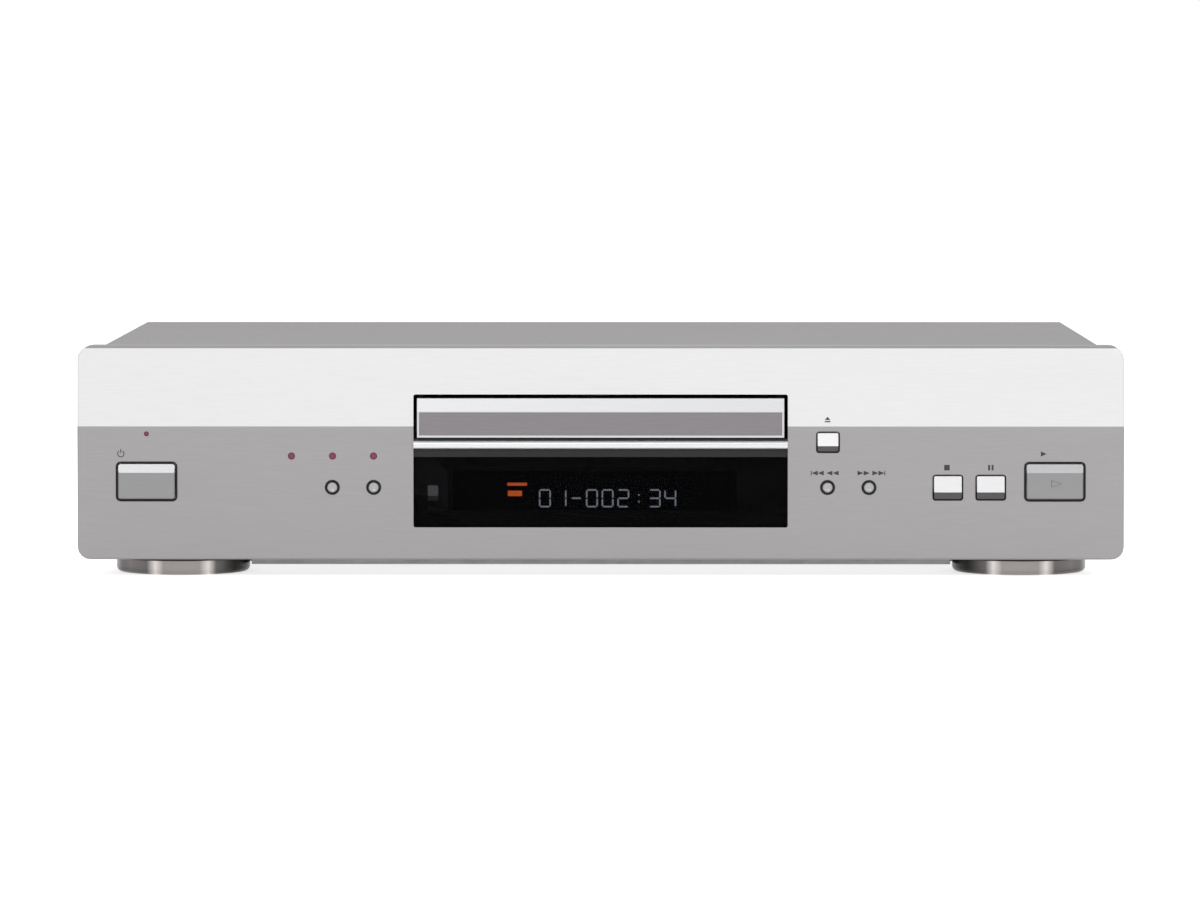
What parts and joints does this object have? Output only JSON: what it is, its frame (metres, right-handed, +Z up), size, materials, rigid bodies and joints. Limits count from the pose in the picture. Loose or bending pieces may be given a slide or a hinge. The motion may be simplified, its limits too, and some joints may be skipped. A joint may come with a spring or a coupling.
{
  "type": "disc player",
  "caption": "Full-width disc player with a front-loading tray, a dark display window, push buttons, wide round feet and rear jacks.",
  "frame": {"origin": "middle of the whole player, on the surface it stands on", "axes": "+X to the right seen from the front, +Y to the rear, +Z up"},
  "size_m": [0.42, 0.283, 0.0925],
  "materials": {
    "silver_fascia": "brushed, anodised",
    "silver_trim": "satin silver plating",
    "silver_button": "satin silver plating",
    "tray_strip": "grey violet satin",
    "black_moulding": "fine matt",
    "grey_steel": "silver grey paint",
    "zinc_steel": "zinc plated sheet",
    "plated_foot": "satin plated",
    "rubber": "matt",
    "window": "smoked, polished",
    "tube_glass": "dark display glass",
    "red_lens": "clear red",
    "board": "lacquered circuit board",
    "tray_plastic": "fine matt",
    "bright_steel": "bright",
    "brass": "turned",
    "white_nylon": "natural acetal",
    "cast_metal": "die cast",
    "lens": "coated glass",
    "core_iron": "laminated, varnished",
    "aluminium": "extruded",
    "screw_steel": "plated"
  },
  "bodies": {
    "root": {"fascia_panel": "silver_fascia", "trim_bar": "silver_trim", "fascia_frame": "black_moulding", "top_cover": "grey_steel", "chassis_base": "zinc_steel", "rear_panel": "zinc_steel", "feet": "plated_foot", "foot_pads": "rubber", "display_window": "window", "display_tube": "tube_glass", "remote_receiver": "black_moulding", "indicator_lenses": "red_lens", "front_board": "board", "key_switches": "black_moulding", "loader_frame": "black_moulding", "loader_dampers": "rubber", "loader_brackets": "zinc_steel", "loading_motor": "bright_steel", "drive_belt": "rubber", "clamp_bridge": "zinc_steel", "power_board": "board", "power_transformer": "core_iron", "power_capacitors": "black_moulding", "power_heatsink": "aluminium", "main_board": "board", "board_chips": "black_moulding", "output_board": "board", "flat_cable": "white_nylon", "jack_housings": "black_moulding", "jack_barrels": "bright_steel", "video_sockets": "black_moulding", "mains_inlet": "black_moulding", "assembly_screws": "screw_steel"},
    "tray": {"disc_tray": "tray_plastic", "tray_front": "silver_trim", "tray_strip": "tray_strip"},
    "drive_gear": {"drive_gear": "white_nylon"},
    "pulley_gear": {"pulley_gear": "white_nylon"},
    "motor_pulley": {"motor_pulley": "brass"},
    "cam_slider": {"cam_slider": "white_nylon"},
    "traverse": {"traverse_frame": "black_moulding", "spindle_motor": "bright_steel", "guide_rods": "bright_steel", "feed_motor": "bright_steel"},
    "turntable": {"turntable": "black_moulding"},
    "pickup": {"pickup": "cast_metal", "objective_lens": "lens"},
    "lead_screw": {"lead_screw": "bright_steel"},
    "clamp": {"clamp_disc": "white_nylon"},
    "standby_button": {"standby_button": "silver_button"},
    "play_button": {"play_button": "silver_button"},
    "stop_button": {"stop_button": "silver_button"},
    "pause_button": {"pause_button": "silver_button"},
    "open_close_button": {"open_close_button": "silver_button"},
    "progressive_button": {"progressive_button": "silver_button"},
    "video_off_button": {"video_off_button": "silver_button"},
    "previous_button": {"previous_button": "silver_button"},
    "next_button": {"next_button": "silver_button"}
  },
  "joints": [
    {"name": "tray_slide", "type": "slide", "parent": "root", "child": "tray", "axis": [0, -1, 0], "range_m": [0, 0.14]},
    {"name": "drive_gear_spin", "type": "hinge", "parent": "root", "child": "drive_gear", "pos_m": [-0.049, -0.0953, 0.0591], "axis": [0, 0, 1], "range_deg": [0, 535]},
    {"name": "pulley_gear_spin", "type": "hinge", "parent": "root", "child": "pulley_gear", "pos_m": [-0.0518, -0.07247, 0.057], "axis": [0, 0, 1], "range_deg": [-1003, 0]},
    {"name": "motor_pulley_spin", "type": "hinge", "parent": "root", "child": "motor_pulley", "pos_m": [-0.0518, -0.03847, 0.055], "axis": [0, 0, 1], "range_deg": [-3869, 0]},
    {"name": "traverse_tilt", "type": "hinge", "parent": "root", "child": "traverse", "pos_m": [0, 0.0297, 0.05], "axis": [1, 0, 0], "range_deg": [0, 4.6]},
    {"name": "cam_slide", "type": "slide", "parent": "root", "child": "cam_slider", "axis": [1, 0, 0], "range_m": [0, 0.0121]},
    {"name": "turntable_spin", "type": "hinge", "parent": "traverse", "child": "turntable", "pos_m": [0, -0.0663, 0.066], "axis": [0, 0, 1], "continuous": true},
    {"name": "pickup_feed", "type": "slide", "parent": "traverse", "child": "pickup", "axis": [0, 1, 0], "range_m": [0, 0.034]},
    {"name": "lead_screw_spin", "type": "hinge", "parent": "traverse", "child": "lead_screw", "pos_m": [0.034, -0.0103, 0.0554], "axis": [0, 1, 0], "range_deg": [0, 4081]},
    {"name": "clamp_spin", "type": "hinge", "parent": "root", "child": "clamp", "pos_m": [0, -0.0663, 0.073], "axis": [0, 0, 1], "continuous": true},
    {"name": "standby_press", "type": "slide", "parent": "root", "child": "standby_button", "axis": [0, 1, 0], "range_m": [0, 0.0008], "stiffness_N_per_m": 250, "springref_m": -0.0016},
    {"name": "play_press", "type": "slide", "parent": "root", "child": "play_button", "axis": [0, 1, 0], "range_m": [0, 0.0008], "stiffness_N_per_m": 250, "springref_m": -0.0016},
    {"name": "stop_press", "type": "slide", "parent": "root", "child": "stop_button", "axis": [0, 1, 0], "range_m": [0, 0.0008], "stiffness_N_per_m": 250, "springref_m": -0.0016},
    {"name": "pause_press", "type": "slide", "parent": "root", "child": "pause_button", "axis": [0, 1, 0], "range_m": [0, 0.0008], "stiffness_N_per_m": 250, "springref_m": -0.0016},
    {"name": "open_close_press", "type": "slide", "parent": "root", "child": "open_close_button", "axis": [0, 1, 0], "range_m": [0, 0.0008], "stiffness_N_per_m": 250, "springref_m": -0.0016},
    {"name": "progressive_press", "type": "slide", "parent": "root", "child": "progressive_button", "axis": [0, 1, 0], "range_m": [0, 0.0008], "stiffness_N_per_m": 250, "springref_m": -0.0016},
    {"name": "video_off_press", "type": "slide", "parent": "root", "child": "video_off_button", "axis": [0, 1, 0], "range_m": [0, 0.0008], "stiffness_N_per_m": 250, "springref_m": -0.0016},
    {"name": "previous_press", "type": "slide", "parent": "root", "child": "previous_button", "axis": [0, 1, 0], "range_m": [0, 0.0008], "stiffness_N_per_m": 250, "springref_m": -0.0016},
    {"name": "next_press", "type": "slide", "parent": "root", "child": "next_button", "axis": [0, 1, 0], "range_m": [0, 0.0008], "stiffness_N_per_m": 250, "springref_m": -0.0016}
  ],
  "couplings": [
    {"joint": "drive_gear_spin", "follows": "tray_slide", "rad_per_m": 66.667},
    {"joint": "pulley_gear_spin", "follows": "tray_slide", "rad_per_m": -125},
    {"joint": "motor_pulley_spin", "follows": "tray_slide", "rad_per_m": -482.14},
    {"joint": "cam_slide", "follows": "traverse_tilt", "m_per_rad": 0.14947},
    {"joint": "lead_screw_spin", "follows": "pickup_feed", "rad_per_m": 2094.4}
  ]
}
